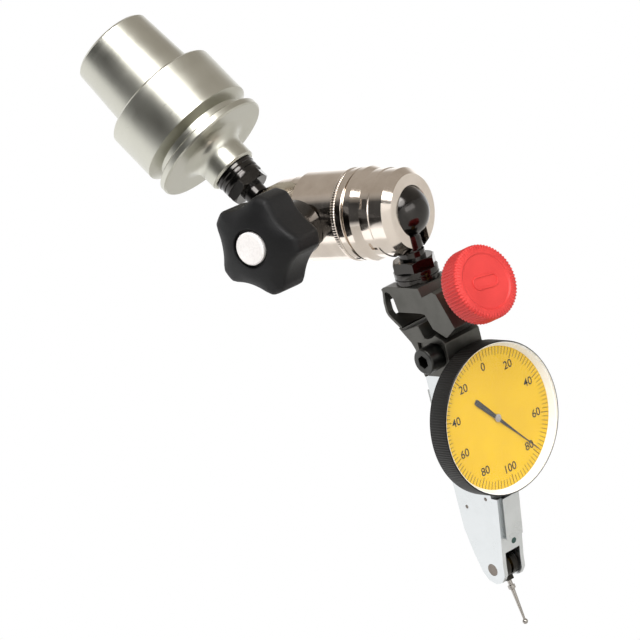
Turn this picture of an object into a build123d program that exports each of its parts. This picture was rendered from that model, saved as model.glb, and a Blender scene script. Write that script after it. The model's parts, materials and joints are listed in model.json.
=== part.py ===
from build123d import *
import os
from math import atan2, degrees, radians, sin, tan

# Spindle-held articulated holder with a lever type dial test indicator, in millimetres.
# Origin: centre of the shank flange's contact face. +Z runs up the spindle axis into the spindle.
# The arm swings in the XZ plane and hangs below the flange towards +X.

# ---- driving dimensions -------------------------------------------------------------------
GAUGE_R = 12.0            # taper radius at the contact face
TAPER_LENGTH = 18.6
TAPER_SLOPE = 0.05        # radius lost per mm of height, a 1:10 taper
FLANGE_R = 16.0
FLANGE_LENGTH = 20.0
NECK_R = 6.5
NECK_END = 28.0           # the shank's lower end, below the contact face

BALL_R = 7.0
SOCKET_R = 7.08           # running fit around the ball
BALL_DEPTH = 45.0         # rear ball centre below the contact face
BALL_DISTANCE = 37.4      # between the two ball centres

ARM_ANGLE = 48.0          # the arm from the spindle axis
CAP_TURN = 5.0            # the front cap turned about the arm
STUD_ANGLE = 89.4         # the front stud from the arm
BLOCK_ROLL = 12.8         # the adjuster turned about the front stud

TUBE_R = 11.2
SPIGOT_R = 9.4            # the tube's nose, which the rings and the front cap sit on
RUNNING = 0.05            # radial clearance of a running fit
SLOT_WIDTH = 7.6
OPENING_R = 6.1           # mouth of each ball socket
SOCKET_LIP = 3.5          # how far each socket reaches past its ball's centre

KNOB_PLACE = 14.1         # the star knob's axis, along the arm from the rear ball
KNOB_FACE = 32.1          # the middle of its domed face, from the arm's axis
KNOB_DEPTH = 12.3
KNOB_DOME = 2.5           # how far its lobes fall back from the middle
KNOB_R = 12.7
KNOB_LOBES = 5
SPINDLE_R = 4.0
CONE_TIP = -2.6           # the blunt end of the spindle's 60 degree cone
CONE_TIP_R = 0.6
ROD_TRAVEL = 0.65         # room for the push rods to close in beside the spindle

BLOCK_HALF = 6.0          # half the adjuster's width
STUD_SEAT = 17.6          # the adjuster's top face from the front ball

DIAL_U = 53.2             # the dial's axis along the indicator
DIAL_FRONT = 18.2         # the bezel's front rim from the stud axis
BEZEL_R = 19.1
BEZEL_DEPTH = 6.2
DIAL_R = 17.8
BODY_HALF = 3.7
PIVOT = (93.3, 4.8)       # the stylus pivot, along and across the indicator
STYLUS_LENGTH = 15.5      # from the pivot to the middle of the tip ball
STYLUS_LEAN = 11.0         # the stylus from the indicator's axis, degrees towards the dial
NEEDLE_ANGLE = 139.0      # clockwise from the dial's zero

# ---- frames of the sub-assemblies -----------------------------------------------------------
REAR_BALL = Pos(0, 0, -BALL_DEPTH)
ARM = REAR_BALL * Rot(0, 180 - ARM_ANGLE, 0) * Rot(0, 0, 180)     # z along the arm, y out of the star knob
CAP = ARM * Pos(0, 0, BALL_DISTANCE) * Rot(0, 0, 180 + CAP_TURN)  # x towards the front stud
STUD = CAP * Rot(0, STUD_ANGLE, 0)                                # z along the front stud
FRONT_INSIDE = ARM * Pos(0, 0, BALL_DISTANCE) * Rot(0, 180, 0)     # z from the front ball back into the tube
BLOCK = CAP * Rot(90, 0, 0) * Rot(0, 0, 90 - STUD_ANGLE) * Rot(BLOCK_ROLL, 0, 0)
# BLOCK: x runs down the indicator, y towards the dial's front, z out of the clamp screw's side.
KNOB = ARM * Pos(0, 0, KNOB_PLACE) * Rot(-90, 0, 0)               # z out of the star knob


# ---- small helpers ----------------------------------------------------------------------------
def turned(points):
    """A solid of revolution about Z from (radius, height) points of its closed outline."""
    outline = Polyline(*[(r, 0, z) for r, z in points], close=True)
    return revolve(make_face(outline), Axis.Z)


def rod(radius, low, high):
    """A plain cylinder about Z between two heights."""
    return Pos(0, 0, low) * Cylinder(radius, high - low, align=(Align.CENTER, Align.CENTER, Align.MIN))


def tube(outer, inner, low, high):
    """A plain ring about Z between two heights."""
    return rod(outer, low, high) - rod(inner, low - 1, high + 1)


def plate(points, low, high):
    """A prism of an (x, y) outline between two heights."""
    face = make_face(Polyline(*points, close=True))
    return Pos(0, 0, low) * extrude(face, high - low)


def brick(x, y, z):
    """A box given by its low and high value on each axis."""
    middle = Pos((x[0] + x[1]) / 2, (y[0] + y[1]) / 2, (z[0] + z[1]) / 2)
    return middle * Box(x[1] - x[0], y[1] - y[0], z[1] - z[0])


def hexagon(across_flats, low, high):
    """A hexagonal prism about Z."""
    return Pos(0, 0, low) * extrude(RegularPolygon(across_flats / 2, 6, major_radius=False), high - low)


def across(x, y):
    """A place on the indicator's side plane, with z along the clamp screw."""
    return Pos(x, y, 0)


def facing(x, z=0.0):
    """A place on the indicator with z towards the dial's front."""
    return Pos(x, 0, z) * Rot(-90, 0, 0)


# ---- shank --------------------------------------------------------------------------------------
def hollow_shank():
    """Hollow taper shank, gripper flange with its V groove, and neck, ground from one piece."""
    top = TAPER_LENGTH
    top_r = GAUGE_R - TAPER_SLOPE * top
    neck_fillet = 3.8
    flare = FLANGE_LENGTH + neck_fillet
    outline = Polyline(
        (8.9, 0, top), (top_r - 0.6, 0, top), (top_r, 0, top - 0.6), (GAUGE_R, 0, 0.0),
        (FLANGE_R - 0.5, 0, 0.0), (FLANGE_R, 0, -0.5), (FLANGE_R, 0, -13.9),
        (13.2, 0, -15.5), (13.2, 0, -17.6), (FLANGE_R - 0.3, 0, -17.9), (FLANGE_R, 0, -18.2),
        (FLANGE_R, 0, -FLANGE_LENGTH + 0.4), (FLANGE_R - 0.4, 0, -FLANGE_LENGTH),
        (NECK_R + neck_fillet, 0, -FLANGE_LENGTH),
    )
    fillet_arc = ThreePointArc(
        (NECK_R + neck_fillet, 0, -FLANGE_LENGTH),
        (NECK_R + neck_fillet * (1 - sin(radians(45))), 0, -flare + neck_fillet * sin(radians(45))),
        (NECK_R, 0, -flare),
    )
    rest = Polyline(
        (NECK_R, 0, -flare), (NECK_R, 0, -NECK_END + 0.5), (NECK_R - 0.5, 0, -NECK_END),
        (3.25, 0, -NECK_END), (3.25, 0, -17.0), (0, 0, -16.0), (0, 0, -10.0), (4.6, 0, -10.0),
        (4.6, 0, -4.0), (8.5, 0, -4.0), (8.5, 0, 2.5), (9.8, 0, 3.8), (9.8, 0, 8.0), (8.5, 0, 10.6),
        (8.5, 0, top - 0.4), (8.9, 0, top),
    )
    return revolve(make_face([outline, fillet_arc, rest]), Axis.Z)


def ball_stud(neck_r, hex_low, hex_high, collar_r, collar_high, thread_end):
    """Ball, neck, hexagon, collar and threaded end on Z, with the ball's centre at the origin."""
    ball = Sphere(BALL_R)
    neck = rod(neck_r, 5.5, hex_low)
    corners = turned([(0, hex_low), (5.0, hex_low), (5.8, hex_low + 0.5), (5.8, hex_high), (0, hex_high)])
    grip = hexagon(10.0, hex_low, hex_high) & corners
    middle = (hex_high + collar_high) / 2
    groove = tube(collar_r + 1, collar_r - 0.35, middle - 0.25, middle + 0.25)
    collar = rod(collar_r, hex_high, collar_high) - groove
    thread = rod(3.2, collar_high, thread_end)
    return ball + neck + grip + collar + thread


def rear_stud():
    """The stud screwed up into the shank; its hexagon sits under the thrust collar."""
    return REAR_BALL * ball_stud(3.0, 10.4, 13.0, 5.4, 15.7, 25.0)


def thrust_collar():
    """The dark washer between the neck's end and the rear stud's hexagon."""
    ring = tube(5.6, 3.3, -NECK_END - 1.25, -NECK_END - 0.03)
    return chamfer(ring.edges().filter_by(GeomType.CIRCLE).sort_by(SortBy.RADIUS)[-2:], 0.25)


def front_stud():
    """The stud between the front ball and the adjuster, with a step in its neck."""
    stud = ball_stud(3.3, 11.8, 14.6, 5.6, STUD_SEAT - 0.03, 22.8)
    step = tube(3.4, 2.7, 9.3, 10.0)
    return STUD * (stud - step)


# ---- arm ----------------------------------------------------------------------------------------
def socket_slot(width, length):
    """The slot that lets a stud swing out sideways, along +X from the socket's mouth."""
    slot = brick((0, 30), (-width / 2, width / 2), (-length, 0))
    return slot + Rot(0, 90, 0) * rod(width / 2, 0, 30)


def arm_tube():
    """The tube that holds both balls, with the rear socket's nose and slot and the clamp's side bore."""
    nose = Polyline(
        (OPENING_R, 0, -SOCKET_LIP), (8.0, 0, -SOCKET_LIP), (8.9, 0, -2.0), (9.6, 0, 1.0), (10.3, 0, 8.0),
        (10.3, 0, 10.4), (TUBE_R, 0, 11.6), (TUBE_R, 0, 24.0), (SPIGOT_R, 0, 24.0), (SPIGOT_R, 0, 31.0),
        (SOCKET_R + 0.3, 0, 31.0), (SOCKET_R, 0, 30.7), (0, 0, 30.7), (0, 0, -SOCKET_LIP), close=True,
    )
    blank = revolve(make_face(nose), Axis.Z)
    cavity = Sphere(SOCKET_R) + rod(SOCKET_R, 0, 40)
    groove = tube(SPIGOT_R + 1, SPIGOT_R - 0.5, 29.2, 30.1)
    side_bore = Pos(0, 0, KNOB_PLACE) * Rot(-90, 0, 0) * rod(6.0, 5.0, 14.0)
    return ARM * (blank - cavity - groove - socket_slot(SLOT_WIDTH, 6.0) - side_bore)


def lock_ring():
    """The ring that is screwed against the tube's shoulder; its edge is knurled."""
    return ARM * turned([
        (SPIGOT_R + 0.02, 24.02), (11.3, 24.02), (11.55, 24.3), (11.55, 25.2), (11.3, 25.4), (SPIGOT_R + 0.02, 25.4),
    ])


def spanner_ring():
    """The second ring, with a pin hole for a hook spanner and a groove behind it."""
    ring = turned([
        (SPIGOT_R + 0.02, 25.45), (11.2, 25.45), (11.5, 25.7), (11.5, 27.2), (11.2, 27.4),
        (10.9, 27.45), (10.9, 27.9), (SPIGOT_R + 0.02, 27.9),
    ])
    pin_hole = Rot(0, 0, 148) * Pos(0, 0, 26.5) * Rot(0, 90, 0) * rod(0.6, 10.4, 13.0)
    return ARM * (ring - pin_hole)


def front_cap():
    """The swivel cap that carries the front ball; its slot faces the front stud."""
    lip = SOCKET_LIP
    inner = SPIGOT_R + RUNNING
    start = 28.0 - BALL_DISTANCE
    end = 31.1 - BALL_DISTANCE
    blank = turned([
        (inner, start), (11.4, start), (11.7, start + 0.3), (11.7, -7.4), (11.0, -5.0), (11.0, -2.4),
        (10.8, -2.2), (10.8, 1.6), (9.2, lip), (0, lip), (0, end), (inner, end),
    ])
    cavity = Sphere(SOCKET_R) + rod(SOCKET_R, -20, 0)
    mouth = turned([(0, 3.0), (5.9, 3.0), (6.6, lip + 0.2), (0, lip + 0.2)])
    groove = tube(inner + 0.5, inner - 1, 29.2 - BALL_DISTANCE, 30.1 - BALL_DISTANCE)
    blank = blank - cavity - mouth - groove
    blank = blank - Rot(180, 0, 0) * socket_slot(SLOT_WIDTH, 6.0)
    for turn in (60, 120, 240, 300):
        blank = blank - Rot(0, 0, turn) * brick((10.6, 12), (-1.2, 1.2), (-4.6, -2.9))
    return CAP * blank


def cap_snap_ring():
    """The open wire ring that keeps the cap on the tube's nose."""
    ring = tube(SPIGOT_R + 0.35, SPIGOT_R - 0.4, 29.3, 30.0)
    return ARM * (ring - brick((0, 20), (-1.5, 1.5), (29, 31)))


def ball_seat(bore):
    """A hard cup that presses on a ball; Z points away from the ball's centre."""
    return rod(bore - RUNNING, 3.4, 8.6) - Sphere(SOCKET_R + 0.02)


def push_rod(length_from_ball):
    """The rod between a ball seat and the clamp cone, with a matching conical flank."""
    blank = rod(5.0, 8.65, length_from_ball)
    spindle_place = Pos(0, 0, length_from_ball + 1.2) * Rot(-90, 0, 0)
    relief = rod(SPINDLE_R + 0.12 + ROD_TRAVEL, cone_height(), 9.0)
    return blank - spindle_place * (clamp_cone(0.12) + relief)


def clamp_cone(growth=0.0):
    """The 60 degree cone on the end of the star knob's spindle, on Z, grown by a clearance."""
    tip_r = CONE_TIP_R + growth
    full_r = SPINDLE_R + growth
    return turned([(0, CONE_TIP), (tip_r, CONE_TIP), (full_r, cone_height()), (full_r, 9.0), (0, 9.0)])


def cone_height():
    """Where the clamp cone reaches the spindle's full radius, on the spindle's axis."""
    return CONE_TIP + (SPINDLE_R - CONE_TIP_R) / tan(radians(30))


def clamp_spindle():
    """The threaded spindle that the star knob turns; its cone spreads the two push rods."""
    return KNOB * (clamp_cone() + rod(SPINDLE_R, 8.0, 25.2))


def guide_bush():
    """The flanged bush on the tube's side, in which the clamp spindle is threaded."""
    inner = SPINDLE_R + RUNNING
    return KNOB * turned([
        (inner, 7.3), (5.95, 7.3), (5.95, 11.25), (7.0, 11.25), (7.0, 16.6), (6.6, 17.0), (inner, 17.0),
    ])


# ---- star knob ------------------------------------------------------------------------------------
def knob_outline():
    """The face of the star knob: a disc with five round valleys between its lobes."""
    valley_r = 12.4
    valley_place = 22.6
    disc = Circle(KNOB_R)
    for i in range(KNOB_LOBES):
        disc = disc - Rot(0, 0, 360 / KNOB_LOBES * i + 17.0) * Pos(valley_place, 0, 0) * Circle(valley_r)
    return fillet(disc.vertices(), 2.6)


def star_knob():
    """The moulded five-lobed knob with its hub, insert bore and the recess for the cap disc."""
    low = KNOB_FACE - KNOB_DEPTH
    body = Pos(0, 0, low) * extrude(knob_outline(), KNOB_DEPTH)
    dome_r = KNOB_R**2 / (2 * KNOB_DOME)
    dome = Pos(0, 0, KNOB_FACE - dome_r) * Sphere(dome_r)
    body = (body & dome) + rod(7.6, 17.3, low)
    recess = rod(4.9, KNOB_FACE - 1.4, KNOB_FACE + 1)
    insert_bore = rod(5.52, 17.0, 26.5)
    return KNOB * (body - recess - insert_bore)


def knob_insert():
    """The steel insert moulded into the star knob around the spindle's end."""
    return KNOB * (rod(5.5, 17.35, 26.45) - rod(SPINDLE_R + RUNNING, 17.0, 25.5))


def knob_cap_disc():
    """The light disc that closes the star knob's recess."""
    disc = rod(4.1, KNOB_FACE - 1.38, KNOB_FACE - 0.1)
    return KNOB * chamfer(disc.edges().sort_by(Axis.Z)[-1], 0.3)


# ---- fine adjuster ----------------------------------------------------------------------------------
# The screw leans away from the dial's normal, in the indicator's side plane.
SCREW_LEAN = 19.0
SCREW_FACE = (17.15, 24.5)            # the red knob's face centre
RED_KNOB_R = 9.4
RED_KNOB_DEPTH = 6.6
SCREW = Pos(*SCREW_FACE, 0) * Rot(0, 0, SCREW_LEAN) * Rot(-90, 0, 0)    # z out of the red knob
LEAF_START = [(19.6, -7.2), (18.4, -7.7)]
LEAF_END = [(28.4, -4.9), (28.9, -3.0)]


def fine_block():
    """The upper half of the adjuster: stud thread above, screw bore through its nose."""
    outline = [
        (STUD_SEAT, -5.4), (STUD_SEAT, 5.9), (19.9, 6.6), (18.4, 10.6), (18.9, 11.9), (27.6, 15.8), (30.3, 12.0),
        (28.1, 7.8), (24.5, 6.1), (24.2, 4.8), (24.2, -3.4), (20.8, -4.0), (19.4, -5.0), (19.0, -6.1),
        LEAF_START[0], LEAF_START[1], (17.9, -6.9),
    ]
    block = plate(outline, -BLOCK_HALF, BLOCK_HALF)
    block = chamfer(block.edges().filter_by(Axis.Z).group_by(Axis.X)[-1], 0.25)
    thread = Rot(0, 90, 0) * rod(3.25, 17.0, 23.0)
    screw_bore = SCREW * rod(3.0, -40, 0)
    return BLOCK * (block - thread - screw_bore)


def flexure_leaf():
    """The thin spring leaf that joins the two halves of the adjuster and lets them hinge."""
    outer = [LEAF_START[1], (21.6, -8.3), (24.5, -8.45), (26.0, -7.5), LEAF_END[0]]
    inner = [LEAF_END[1], (25.9, -6.3), (24.5, -7.45), (22.0, -7.7), LEAF_START[0]]
    window = brick((21.4, 25.7), (-9, -6), (-4.2, 4.2))
    return BLOCK * (plate(outer + inner, -BLOCK_HALF, BLOCK_HALF) - window)


def screw_bush():
    """The threaded bush pressed into the adjuster's nose around the fine screw."""
    return BLOCK * SCREW * tube(2.98, 1.8 + RUNNING, -18.5, -9.0)


def fine_screw():
    """The fine screw with the conical end that spreads the adjuster."""
    return BLOCK * SCREW * turned([
        (0, -25.7), (0.5, -25.7), (1.8, -20.9), (1.8, -7.2), (2.6, -7.2), (2.6, -6.65), (2.0, -6.65),
        (2.0, -1.6), (0, -1.6),
    ])


def red_knob():
    """The thumb knob of the fine screw, with a raised rim, a recessed face and a fluted edge."""
    back = -RED_KNOB_DEPTH
    return BLOCK * SCREW * turned([
        (2.02, back), (8.7, back), (RED_KNOB_R, back + 0.8), (RED_KNOB_R, -0.5), (RED_KNOB_R - 0.5, 0.0),
        (7.1, 0.0), (6.8, -0.35), (0, -0.35), (0, -1.55), (2.02, -1.55),
    ])


CLAMP_SCREW = (35.3, 5.9)   # the clamp screw's axis
JAW_FACE = 5.3              # where the clamp screw's head bears on the jaw
LEVER_END = 41.0
LEVER_FRONT = 10.8          # just behind the bezel
BODY_TOP = LEVER_END + 0.15
RAIL_CLEARANCE = 0.06


def lever_blank():
    """The lower half of the adjuster before it is opened for the jaw and the screw."""
    outline = [
        LEAF_END[1], (27.4, 2.6), (30.6, 3.8), (30.8, 5.1), (30.4, 6.7), (29.7, 7.7), (30.8, 9.8),
        (31.8, LEVER_FRONT), (LEVER_END, LEVER_FRONT), (LEVER_END, 0.4), (38.0, -0.2), (33.9, -0.6), (32.1, -1.5),
        LEAF_END[0],
    ]
    return plate(outline, -BLOCK_HALF, BLOCK_HALF)


def dovetail(growth=0.0):
    """The indicator's dovetail rail, running towards the dial, grown by a clearance."""
    low = 38.4 - growth
    wide = 3.0 + growth
    narrow = 1.5 + growth
    face = make_face(Polyline((low, 0, -wide), (low, 0, wide), (41.4, 0, narrow), (41.4, 0, -narrow), close=True))
    return Pos(0, 1.6 - growth / 2, 0) * extrude(face, 7.4 + growth, dir=(0, 1, 0))


def fine_lever():
    """The lower half of the adjuster with half of the dovetail clamp."""
    pocket = brick((32.0, 42.0), (0.9, 9.7), (0.9, 7.0))
    thread = across(*CLAMP_SCREW) * rod(2.05, -5.0, 1.0)
    return BLOCK * (lever_blank() - pocket - thread - dovetail(RAIL_CLEARANCE))


def clamp_jaw():
    """The loose jaw that the clamp screw pulls onto the dovetail."""
    jaw = brick((32.1, LEVER_END), (1.0, 9.6), (1.0, JAW_FACE))
    bore = across(*CLAMP_SCREW) * rod(2.2, 0, 8)
    return BLOCK * (jaw - bore - dovetail(RAIL_CLEARANCE))


def clamp_screw():
    """The socket head cap screw of the dovetail clamp."""
    head_top = JAW_FACE + 4.7
    screw = rod(2.0, -4.8, JAW_FACE + 0.1) + rod(3.3, JAW_FACE + 0.02, head_top)
    screw = chamfer(screw.edges().sort_by(Axis.Z)[-1], 0.3)
    return BLOCK * across(*CLAMP_SCREW) * (screw - hexagon(3.0, head_top - 2.2, head_top + 1))


# ---- indicator: body ----------------------------------------------------------------------------
BODY_FRONT = 10.8          # the body's front face behind the dial
BODY_BACK = -2.0
SEAT_LOW = BODY_FRONT + 0.02
FORK_HALF = 2.5            # half the width of the fork's gap
FORK_START = 88.8
DOWEL_PLACES = [(76.5, 1.1), (73.9, 8.7)]
COCK_LOW = 7.2             # the cock that holds the needle arbor's lower jewel
COCK_HIGH = 8.0
COCK_JEWEL_R = 0.5
CROWN_PITCH_R = 5.2
CROWN = (DIAL_U, 4.9)      # the crown wheel's axis crosses the needle's
PINION_R = 0.6             # on the needle's arbor, driven by the crown wheel
SECTOR_PINION_R = 0.7      # on the crown wheel's arbor, driven by the sector


def body_outline():
    """The side view of the indicator's body, straight behind the dial and a wedge below it."""
    return [
        (BODY_TOP, BODY_BACK), (82.5, BODY_BACK), (89.0, -0.6), (93.9, 0.9), (96.2, 2.5), (97.2, 4.9),
        (96.6, 7.2), (94.9, 8.6), (91.5, 9.1), (84.5, 10.7), (73.8, 12.9), (73.6, BODY_FRONT),
        (BODY_TOP, BODY_FRONT),
    ]


def front_rail():
    """The dovetail rail on the wedge's front face, running down from the bezel."""
    start, end = Vector(73.6, 12.85), Vector(85.0, 10.6)
    root, tip, height = 2.1, 2.9, 1.2
    section = make_face(Polyline((0, -0.3, -root), (0, 0, -root), (0, height, -tip), (0, height, tip),
                                 (0, 0, root), (0, -0.3, root), close=True))
    slope = degrees(atan2(end.Y - start.Y, end.X - start.X))
    return Pos(start) * Rot(0, 0, slope) * extrude(section, (end - start).length, dir=(1, 0, 0))


def indicator_body():
    """The one-piece body: wedge-shaped below the dial, hollow for the movement, forked at the pivot."""
    body = plate(body_outline(), -BODY_HALF, BODY_HALF)
    movement_room = brick((44.0, 70.0), (-0.8, BODY_FRONT + 1), (-2.7, 2.7))
    sector_room = brick((69.0, FORK_START + 1), (1.6, 8.0), (-1.6, 1.6))
    fork_room = brick((FORK_START, 99.0), (-2.0, 13.0), (-FORK_HALF, FORK_HALF))
    pin_bore = across(*PIVOT) * rod(1.62, -5, 5)
    cock = brick((DIAL_U - 1.2, DIAL_U + 1.2), (COCK_LOW, COCK_HIGH), (-0.58, 2.75))
    cock = cock - facing(DIAL_U) * rod(COCK_JEWEL_R + 0.01, COCK_LOW - 1, COCK_HIGH + 1)
    crown_bore = across(*CROWN) * rod(0.52, -3.3, 3.3)
    body = body + front_rail() - movement_room - sector_room - fork_room - pin_bore - crown_bore + cock
    for x, y in DOWEL_PLACES:
        body = body - across(x, y) * rod(0.5, 2.6, 4)
    return BLOCK * body


def dowel_pin(place):
    """A small pin pressed flush into the body's side."""
    return BLOCK * across(*place) * rod(0.48, 2.65, BODY_HALF - 0.02)


def top_dovetail():
    """The dovetail rail on the body's top end, which the clamp grips."""
    beyond = brick((BODY_TOP - 0.02, 43), (-1, 12), (-5, 5))
    return BLOCK * (dovetail() - beyond)


def back_dovetail():
    """The second dovetail rail, along the body's back, for side mounting."""
    root, tip = BODY_BACK - 0.02, BODY_BACK - 1.9
    rail = Polyline((0, root, -1.5), (0, root, 1.5), (0, tip, 2.6), (0, tip, -2.6), close=True)
    return BLOCK * Pos(46.0, 0, 0) * extrude(make_face(rail), 20.0, dir=(1, 0, 0))


def movement_plate():
    """The plate over the movement room that carries the needle's upper bearing."""
    return BLOCK * facing(DIAL_U) * tube(12.4, 1.42, SEAT_LOW, SEAT_LOW + 0.9)


ARBOR_R = 0.25
JEWEL_BORE = 0.28


def upper_jewel():
    """The needle arbor's bearing jewel in the movement plate."""
    return BLOCK * facing(DIAL_U) * tube(1.4, JEWEL_BORE, SEAT_LOW, SEAT_LOW + 0.9)


def lower_jewel():
    """The needle arbor's lower bearing jewel, in the cock over the crown wheel."""
    return BLOCK * facing(DIAL_U) * tube(COCK_JEWEL_R, JEWEL_BORE, COCK_LOW + 0.02, COCK_HIGH - 0.02)


def bezel_seat():
    """The ring on the body on which the bezel turns."""
    inner = 12.5
    return BLOCK * facing(DIAL_U) * turned([
        (inner, SEAT_LOW), (15.6, SEAT_LOW), (15.6, 13.1), (16.6, 13.1), (16.6, 13.8), (inner, 13.8),
    ])


# ---- indicator: bezel and dial ---------------------------------------------------------------------
DIAL_LEVEL = DIAL_FRONT - 2.3         # the dial's printed face
CRYSTAL_LOW = DIAL_FRONT - 0.6


def bezel():
    """The knurled ring that turns the dial under the needle."""
    back = DIAL_FRONT - BEZEL_DEPTH
    return BLOCK * facing(DIAL_U) * turned([
        (15.7, back), (18.4, back), (BEZEL_R, back + 0.5), (BEZEL_R, DIAL_FRONT - 0.3),
        (BEZEL_R - 0.2, DIAL_FRONT), (18.8, DIAL_FRONT), (18.8, 14.1), (16.8, 14.1), (16.8, 12.9), (15.7, 12.9),
    ])


def dial_ring():
    """The white ring that slopes from the dial up to the crystal, with a step under each."""
    return BLOCK * facing(DIAL_U) * turned([
        (16.9, 14.15), (18.75, 14.15), (18.75, DIAL_FRONT - 0.1), (18.65, DIAL_FRONT - 0.1),
        (18.65, CRYSTAL_LOW - 0.02), (18.45, CRYSTAL_LOW - 0.02), (DIAL_R - 0.1, DIAL_LEVEL + 0.02),
        (DIAL_R + 0.1, DIAL_LEVEL + 0.02), (DIAL_R + 0.1, DIAL_LEVEL - 0.25), (16.9, DIAL_LEVEL - 0.25),
    ])


def dial_plate():
    """The dial itself, with a hole for the needle's arbor."""
    return BLOCK * facing(DIAL_U) * tube(DIAL_R + 0.08, 0.8, DIAL_LEVEL - 0.23, DIAL_LEVEL)


def crystal():
    """The clear window over the dial."""
    return BLOCK * facing(DIAL_U) * rod(18.6, CRYSTAL_LOW, CRYSTAL_LOW + 0.45)


# ---- indicator: needle and gears --------------------------------------------------------------------
NEEDLE_LEVEL = DIAL_LEVEL + 0.22


def needle():
    """The pointer with its wide tail."""
    half = [(0.1, 16.3), (0.18, 8.0), (0.45, 1.0), (0.55, -1.0), (0.75, -7.8), (0.6, -8.5)]
    outline = half + [(-x, y) for x, y in reversed(half)]
    blade = extrude(make_face(Polyline(*outline, close=True)), 0.1) - rod(ARBOR_R + 0.01, -1, 1)
    return BLOCK * facing(DIAL_U) * Pos(0, 0, NEEDLE_LEVEL) * Rot(0, 0, 90 - NEEDLE_ANGLE) * blade


def needle_hub():
    """The turned boss that holds the needle on its arbor."""
    low = NEEDLE_LEVEL + 0.11
    return BLOCK * facing(DIAL_U) * (rod(1.0, low, low + 0.3) - rod(ARBOR_R + 0.01, low - 1, low + 0.2))


def needle_arbor():
    """The needle's arbor with its pinion, between the two jewels."""
    return BLOCK * facing(DIAL_U) * (
        rod(ARBOR_R, COCK_LOW + 0.1, NEEDLE_LEVEL + 0.28)
        + rod(PINION_R, CROWN[1] + CROWN_PITCH_R - 0.5, CROWN[1] + CROWN_PITCH_R + 0.4)
    )


def hairspring():
    """The flat spiral that takes up the backlash of the train, wound from half rings."""
    half_turns = 9
    step = 0.1                # the radius gained in each half turn
    low, high = 12.4, 12.8
    spring = tube(1.0, ARBOR_R + 0.01, low, high)
    for i in range(half_turns):
        radius = 1.02 + step * i
        ring = tube(radius + 0.04, radius - 0.04, low, high)
        side = (0, 4) if i % 2 == 0 else (-4, 0)
        spring = spring + Pos(step * (i % 2), 0, 0) * (ring & brick((-4, 4), side, (low, high)))
    return BLOCK * facing(DIAL_U) * spring


# Tooth forms are left plain: pitch radii set the ratio of each mesh.
MESH_GAP = 0.05
LEVER_HALF = 0.35          # half the contact lever's thickness


def crown_wheel():
    """The face gear that turns the needle's pinion."""
    top = -PINION_R - MESH_GAP
    rim = tube(CROWN_PITCH_R + 0.3, CROWN_PITCH_R - 0.5, top - 0.7, top)
    web = rod(CROWN_PITCH_R, top - 0.7, top - 0.45)
    return BLOCK * across(*CROWN) * (rim + web - rod(0.5, -3, 0))


def crown_arbor():
    """The face gear's arbor with the pinion that the sector turns."""
    return BLOCK * across(*CROWN) * (rod(0.48, -3.2, 3.2) + rod(SECTOR_PINION_R, -0.6, 1.6))


def contact_lever():
    """The long lever from the stylus pivot to the toothed sector at the crown wheel's arbor."""
    reach = PIVOT[0] - CROWN[0] - SECTOR_PINION_R - MESH_GAP
    arc = tube(reach, reach - 1.8, -LEVER_HALF, LEVER_HALF) & brick((-41, 0), (-1.5, 1.5), (-1, 1))
    bar = brick((-reach + 1.2, -2.0), (-0.8, 0.8), (-LEVER_HALF, LEVER_HALF)) - rod(2.0, -1, 1)
    return BLOCK * across(*PIVOT) * (arc + bar + tube(2.4, 1.66, -LEVER_HALF, LEVER_HALF))


def pivot_pin():
    """The pin that the stylus drum and the contact lever turn on, flush with the body's sides."""
    return BLOCK * across(*PIVOT) * rod(1.6, -BODY_HALF + 0.02, BODY_HALF - 0.02)


STYLUS = BLOCK * across(*PIVOT) * Rot(0, 0, STYLUS_LEAN)      # x runs from the pivot to the tip


def contact_drum():
    """The friction drum in the fork; two cheeks beside the contact lever, joined at the stylus root."""
    gap = brick((-4, 2.6), (-4, 4), (-0.4, 0.4))
    root = brick((2.5, 4.2), (-0.95, 0.95), (-0.95, 0.95))
    thread = Rot(0, 90, 0) * rod(0.62, 2.0, 6)
    return STYLUS * (tube(3.3, 1.66, -2.2, 2.2) - gap + root - thread)


def stylus():
    """The tapered stylus with its collar and ball tip, screwed into the drum."""
    end = STYLUS_LENGTH
    shaft = turned([
        (0, 2.75), (0.6, 2.75), (0.6, 5.5), (0.95, 5.6), (0.95, 6.5), (0.55, 6.8), (0.3, end), (0, end),
    ])
    return STYLUS * Rot(0, 90, 0) * (shaft + Pos(0, 0, end) * Sphere(0.72))


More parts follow.
